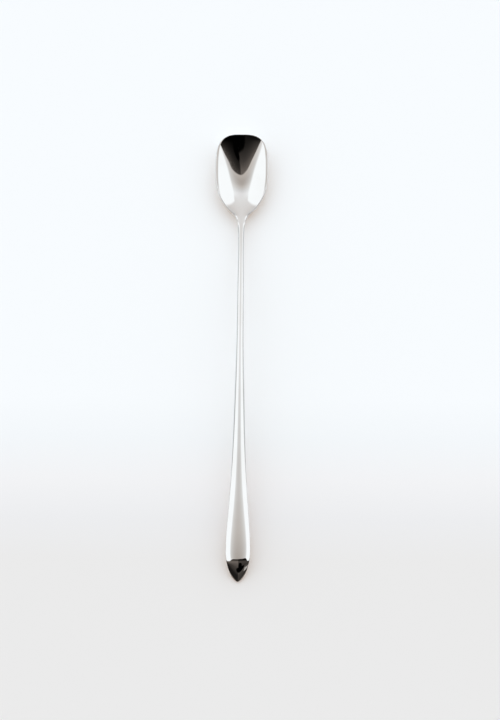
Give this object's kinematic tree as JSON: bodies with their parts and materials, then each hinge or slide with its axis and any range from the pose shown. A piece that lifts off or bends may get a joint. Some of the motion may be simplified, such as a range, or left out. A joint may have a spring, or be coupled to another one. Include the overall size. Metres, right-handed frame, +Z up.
{
  "type": "ice cream spoon",
  "caption": "Long polished steel spoon with a squared, dished bowl, slim neck and stem, and a flared handle with a pointed, turned-down tip, for eating ice cream from tall glasses.",
  "frame": {"origin": "centre of the bounding box's bottom face, on the table that the spoon lies on", "axes": "+Y along the spoon towards the front of the bowl, +Z up out of the bowl, +X to the right seen from above with the bowl at the top"},
  "size_m": [0.0236, 0.2, 0.0126],
  "materials": {
    "polished_steel": "polished"
  },
  "bodies": {
    "root": {"bowl": "polished_steel", "neck": "polished_steel", "stem": "polished_steel", "handle": "polished_steel", "tip": "polished_steel"}
  },
  "joints": []
}
